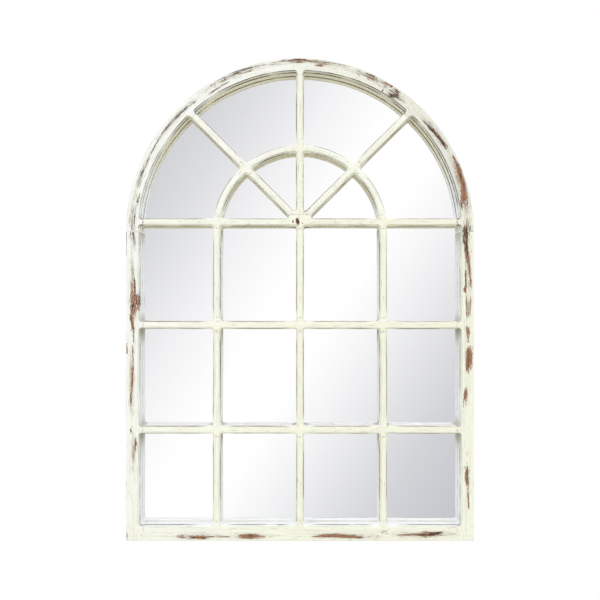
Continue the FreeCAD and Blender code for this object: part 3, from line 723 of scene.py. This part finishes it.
def moulding_wear_and_shade(shader, node, along, across, depth, hair, wear_and_shade_patches):
    """Worn wood with painted shade along the mouldings' arrises, and painted shade down their walls
    and corners.
    """
    kind = kind_of(node)
    at_front, down_step, at_ledge, under_ledge, at_glass = LINES[kind]
    facing = shader.times(shader.normal()[1], -1.0)
    wall = shader.step(facing, *FACES_ASIDE)
    arris = shader.times(shader.step(facing, *ARRIS_FROM_SIDE), shader.step(facing, *ARRIS_TO_FRONT))
    ledge_rim = RAIL_LEDGE_RIM if node == "bottom_rail" else LEDGE_RIMS[kind]
    rim = shader.step(shader.size(across), ledge_rim - 0.4 * MM, ledge_rim + 0.1 * MM)
    # Worn wood with painted shade at the arrises; painted shade down the step, under the ledge and at
    # the glass.
    bands = (
        (arris, FRONT_Y - 1 * MM, FRONT_Y + 2.6 * MM, at_front),
        (wall, FRONT_Y + 1.6 * MM, STEP_Y - 0.6 * MM, down_step),
        (rim, STEP_Y - 0.6 * MM, STEP_Y + 1.6 * MM, at_ledge),
        (wall, STEP_Y + 0.6 * MM, STEP_Y + 4 * MM, under_ledge),
        (wall, GLASS_Y - 3.5 * MM, GLASS_Y + 1 * MM, at_glass),
    )
    lines = 0.0
    for place, low, high, strength in bands:
        found = shader.times(place, shader.band(depth, low, high, 0.5 * MM))
        lines = shader.highest(lines, shader.times(found, strength))
    shown = shader.step(nearest(shader, along, junctions(node)), *JUNCTION_GAPS[kind])
    shown = shader.times(shown, wear_and_shade_patches)
    if node in ARCH_NODES:
        darker = shader.times(shader.step(along, *DARKER_FROM), shader.step(along, *DARKER_UNTIL))
        shown = shader.times(shown, shader.blend(darker, ELSEWHERE_DARK, 1.0))
    if node not in BAR_NODES:
        shown = shader.times(shown, shader.step(across, *LINES_INSET))
    return shader.times(lines, shader.times(shown, shader.step(hair, *LINE_HAIRS)))


def scatter(shader, value, amount):
    """Noise that swings about 0 instead of a half, made this many times as large."""
    return shader.times(shader.minus(value, 0.5), amount)


def painted_wood(node):
    """Brushed cream paint over reddish wood, chipped off the faces, worn at the arrises, with painted
    light and shade.
    """
    shader = Shader(f"painted_{node}")
    is_bar = node in BAR_NODES
    along, across, depth = member_place(shader, node)
    place = shader.combine(along, across, depth)

    def marks(length, width, offset, detail):
        """Noise drawn out along the grain, with marks of about this size."""
        scaled = shader.vector("MULTIPLY", place, (1 / length, 1 / width, 1 / width))
        return shader.noise(shader.vector("ADD", scaled, (offset, offset, 0)), 1.0, detail)

    brush = marks(*BRUSH)
    hair = marks(*HAIR)
    grain = marks(*GRAIN)
    fleck = marks(*FLECK)
    wear_and_shade_patches = shader.step(marks(*WEAR_AND_SHADE_PATCHES), *WORN_AND_SHADED_PLACES)
    mottle = shader.noise(shader.position(), *MOTTLE)

    # Chips down to the wood, with ragged rims and islands of paint left in them.
    if is_bar:
        x, y, z = shader.split(shader.position())
        chip_place = shader.combine(x, z, y)
        chip_spots = HUB_CHIPS if node in HUB_NODES else ()
    else:
        frayed = shader.plus(along, scatter(shader, marks(*RAGGED), FRAY))
        nibbled = shader.plus(across, scatter(shader, hair, NIBBLE))
        chip_place = shader.combine(frayed, nibbled, depth)
        chip_spots = spots_of(node, CHIPS)
    chips = patches(shader, chip_place, chip_spots, CHIP_DEPTH, squarish=not is_bar)
    chips = shader.plus(chips, scatter(shader, fleck, ROUGHEN))
    islands = shader.step(fleck, *PAINT_ISLANDS)
    bare = shader.times(shader.step(chips, *CHIP_RIM), shader.minus(1.0, islands))

    # Streaks and flecks rubbed through to the wood, most where the paint is rubbed.
    rubs = patches(shader, place, spots_of(node, RUBS), CHIP_DEPTH)
    near_rub = shader.step(rubs, *NEAR_RUB)
    streaks = shader.plus(hair, shader.times(near_rub, RUB_STREAKS_MORE))
    flecks = shader.plus(fleck, shader.times(near_rub, RUB_FLECKS_MORE))
    rubbed = shader.highest(shader.step(streaks, *RUBBED_STREAKS), shader.step(flecks, *RUBBED_FLECKS))
    worn = shader.highest(bare, rubbed)
    scuffed = shader.times(near_rub, shader.step(brush, *SCUFFED_STREAKS))

    # Dark lines in the mouldings: worn wood and painted shade.
    lines = moulding_wear_and_shade(shader, node, along, across, depth, hair, wear_and_shade_patches)
    line_colour = shader.mix(shader.step(grain, *LINE_GRAIN), *LINE_COLOURS[kind_of(node)])
    behind = shader.step(shader.normal()[1], *FACES_BACK)
    raw = shader.times(behind, shader.step(brush, *BACK_OVERSPILL))

    colour = paint_tone(shader, node, along, across, depth, brush, mottle)
    colour = shader.mix(scuffed, colour, SCUFFED_PAINT)
    colour = shader.mix(lines, colour, line_colour)
    colour = shader.mix(worn, colour, bare_wood(shader, grain, marks(*STAIN)))
    colour = shader.mix(raw, colour, shader.ramp(grain, RAW_WOOD))

    rough = shader.blend(worn, shader.step(brush, *PAINT_ROUGHNESS), WOOD_ROUGHNESS)
    relief = shader.bump(brush, 0.3 * MM, 0.5)
    relief = shader.bump(shader.minus(1.0, worn), 0.5 * MM, 0.9, relief)
    relief = shader.bump(grain, 0.2 * MM, 0.4, relief)
    return shader.finish(colour, rough, relief)


# --- mirror, board and fittings -----------------------------------------------------------------


def silvered_glass():
    """A mirror that is very slightly uneven."""
    shader = Shader("silvered_glass")
    place = shader.position()
    haze = shader.noise(place, 9.0, 2.0)
    colour = shader.mix(haze, srgb(254, 254, 254), srgb(253, 253, 254))
    rough = shader.step(haze, 0.3, 0.7, 0.006, 0.014)
    relief = shader.bump(shader.noise(place, 2.5, 0.0), 0.02 * MM, 0.2)
    return shader.finish(colour, rough, relief, metallic=1.0)


def hardboard():
    """Pressed brown fibres, with paler hairs and a finely pitted face."""
    shader = Shader("hardboard")
    place = shader.position()
    lengthened = shader.vector("MULTIPLY", place, (1.0, 1.0, 0.35))
    fibres = shader.noise(lengthened, 900.0, 5.0, roughness=0.7, distortion=1.5)
    clouds = shader.noise(place, 14.0, 4.0)
    browns = ((0.3, srgb(96, 70, 46)), (0.5, srgb(134, 102, 70)), (0.72, srgb(176, 146, 108)))
    colour = shader.ramp(fibres, browns)
    colour = shader.mix(shader.step(clouds, 0.35, 0.65, 0.0, 0.35), colour, srgb(116, 88, 62))
    rough = shader.step(fibres, 0.3, 0.7, 0.7, 0.9)
    return shader.finish(colour, rough, shader.bump(fibres, 0.3 * MM, 0.7))


def zinc_plate():
    """Zinc-plated steel with a faint spangle, fine scratches and a dull bloom."""
    shader = Shader("zinc_plate")
    place = shader.position()
    bloom = shader.noise(place, 160.0, 4.0)
    lengthened = shader.vector("MULTIPLY", place, (1.0, 1.0, 0.06))
    scratches = shader.noise(lengthened, 2600.0, 3.0, roughness=0.6)
    colour = shader.mix(shader.step(bloom, 0.3, 0.7), srgb(205, 203, 196), srgb(168, 168, 166))
    colour = shader.mix(shader.step(scratches, 0.6, 0.75, 0.0, 0.5), colour, srgb(226, 226, 224))
    dull = shader.step(bloom, 0.3, 0.7, 0.24, 0.42)
    rough = shader.plus(dull, shader.step(scratches, 0.5, 0.8, 0.0, 0.12))
    return shader.finish(colour, rough, shader.bump(scratches, 0.03 * MM, 0.5), metallic=1.0)


def beech():
    """Pale turned beech with short dark flecks."""
    shader = Shader("beech")
    place = shader.position()
    grain = shader.noise(shader.vector("MULTIPLY", place, (0.15, 1.0, 1.0)), 1100.0, 4.0)
    flecks = shader.noise(shader.vector("MULTIPLY", place, (0.4, 1.0, 1.0)), 2100.0, 2.0)
    colour = shader.ramp(grain, ((0.35, srgb(176, 136, 94)), (0.6, srgb(212, 178, 134))))
    colour = shader.mix(shader.step(flecks, 0.62, 0.7, 0.0, 0.6), colour, srgb(138, 98, 62))
    rough = shader.step(grain, 0.3, 0.7, 0.55, 0.7)
    return shader.finish(colour, rough, shader.bump(grain, 0.1 * MM, 0.6))


def black_rubber():
    """Matt moulded rubber with a dusty bloom."""
    shader = Shader("black_rubber")
    place = shader.position()
    dust = shader.noise(place, 240.0, 4.0)
    pores = shader.noise(place, 2800.0, 3.0)
    colour = shader.mix(shader.step(dust, 0.4, 0.75), srgb(36, 36, 38), srgb(70, 69, 67))
    rough = shader.step(pores, 0.3, 0.7, 0.7, 0.88)
    return shader.finish(colour, rough, shader.bump(pores, 0.08 * MM, 0.6))


FITTINGS = (
    (silvered_glass, ("mirror_glass",)),
    (hardboard, ("back_board",)),
    (
        zinc_plate,
        (
            "board_screws",
            "hanger_screws",
            "left_hanger_strap",
            "right_hanger_strap",
            "left_hanger_ring",
            "right_hanger_ring",
        ),
    ),
    (beech, ("joint_dowels",)),
    (black_rubber, ("wall_bumpers",)),
)

for node, piece in WOOD.items():
    piece.data.materials.append(painted_wood(node))
for make_material, nodes in FITTINGS:
    material = make_material()
    for node in nodes:
        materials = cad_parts[node].data.materials
        materials.clear()
        materials.append(material)

# --- studio -------------------------------------------------------------------------------------

# The sweep of tone that the mirror shows, from the upper left to the lower right: grey, white, grey.
# Each stop is a slope of the line of sight and the screen value seen there.
SWEEP_ACROSS = 0.85
SWEEP_DOWN = 0.53
SWEEP_MIDDLE = 0.5
LEAST_AHEAD = 0.05  # keeps the slope finite for lines of sight along the wall
TONES = (
    (-0.2814, 214), (-0.235, 222), (-0.1824, 233), (-0.1298, 243.5), (-0.065, 253), (-0.0216, 257.5),
    (0.0247, 258.5), (0.065, 255.5), (0.1175, 247), (0.1731, 236), (0.2257, 224), (0.2813, 212),
    (0.3648, 200),
)
# How much of a grey's darkness its green and its blue have, which makes the greys a little blue.
GREEN_SHARE = 0.98
BLUE_SHARE = 0.89

# Light from the four sides, and over what parts of its direction one gives way to the next.
LIGHT_AHEAD = (0.81, 0.81, 0.8, 1)
LIGHT_ASIDE = (1.07, 1.12, 1.16, 1)
LIGHT_BELOW = (0.78, 0.75, 0.58, 1)
LIGHT_ABOVE = (1.5, 1.5, 1.48, 1)
BACKDROP = (1, 1, 1, 1)
AHEAD_TO_ASIDE = (0.2, 0.9)
BELOW_TO_LEVEL = (-0.75, 0.0)
LEVEL_TO_ABOVE = (0.0, 0.8)

FLOOR_DROP = 0.7  # below the mirror's base, as the mirror hangs on a wall
FLOOR_HALF_SIZE = (1.5, 1.25, 1)
FLOOR_MIDDLE_Y = -0.35
FLOOR_TONES = (srgb(196, 193, 180), srgb(202, 199, 187))


def tinted(tone):
    """A bluish grey of this screen value, and a plain white above 255."""
    green, blue = (max(tone, 255 - (255 - tone) * share) for share in (GREEN_SHARE, BLUE_SHARE))
    return srgb(tone, green, blue)


def make_world():
    """Soft light, brightest from above, and a sweep of tone that only reflections show."""
    world = bpy.data.worlds.new("studio")
    bpy.context.scene.world = world
    world.use_nodes = True
    nodes = Nodes(world.node_tree)
    x, y, z = nodes.split(nodes.add("ShaderNodeTexCoord").outputs["Generated"])

    ahead = nodes.highest(nodes.times(y, -1.0), LEAST_AHEAD)
    aside = nodes.times(nodes.math("DIVIDE", x, ahead), SWEEP_ACROSS)
    down = nodes.times(nodes.math("DIVIDE", z, ahead), -SWEEP_DOWN)
    sweep = nodes.plus(nodes.plus(aside, down), SWEEP_MIDDLE)
    tones = nodes.ramp(sweep, [(slope + SWEEP_MIDDLE, tinted(tone)) for slope, tone in TONES])

    level = nodes.mix(nodes.step(nodes.size(x), *AHEAD_TO_ASIDE), LIGHT_AHEAD, LIGHT_ASIDE)
    lower = nodes.mix(nodes.step(z, *BELOW_TO_LEVEL), LIGHT_BELOW, level)
    ambient = nodes.mix(nodes.step(z, *LEVEL_TO_ABOVE), lower, LIGHT_ABOVE)

    rays = nodes.add("ShaderNodeLightPath").outputs
    not_scattered = nodes.math("SUBTRACT", 1.0, rays["Diffuse Depth"], clamp=True)
    reflected = nodes.times(rays["Is Glossy Ray"], not_scattered)
    seen = nodes.mix(reflected, ambient, tones)
    seen = nodes.mix(rays["Is Camera Ray"], seen, BACKDROP)
    background = nodes.add("ShaderNodeBackground")
    nodes.join(seen, background.inputs["Color"])
    output = nodes.add("ShaderNodeOutputWorld")
    nodes.join(background.outputs[0], output.inputs["Surface"])


def make_floor():
    """A pale floor, well below the mirror."""
    shape = bmesh.new()
    bmesh.ops.create_grid(shape, x_segments=1, y_segments=1, size=1.0)
    mesh = bpy.data.meshes.new("floor")
    shape.to_mesh(mesh)
    shape.free()
    floor = bpy.data.objects.new("floor", mesh)
    floor.scale = FLOOR_HALF_SIZE
    floor.location = (0, FLOOR_MIDDLE_Y, BASE_Z - FLOOR_DROP)
    bpy.context.collection.objects.link(floor)
    shader = Shader("pale_floor")
    mottle = shader.noise(shader.position(), 3.0)
    mesh.materials.append(shader.finish(shader.mix(mottle, *FLOOR_TONES), 0.8))


make_floor()
make_world()
bpy.context.scene.view_settings.view_transform = "Standard"
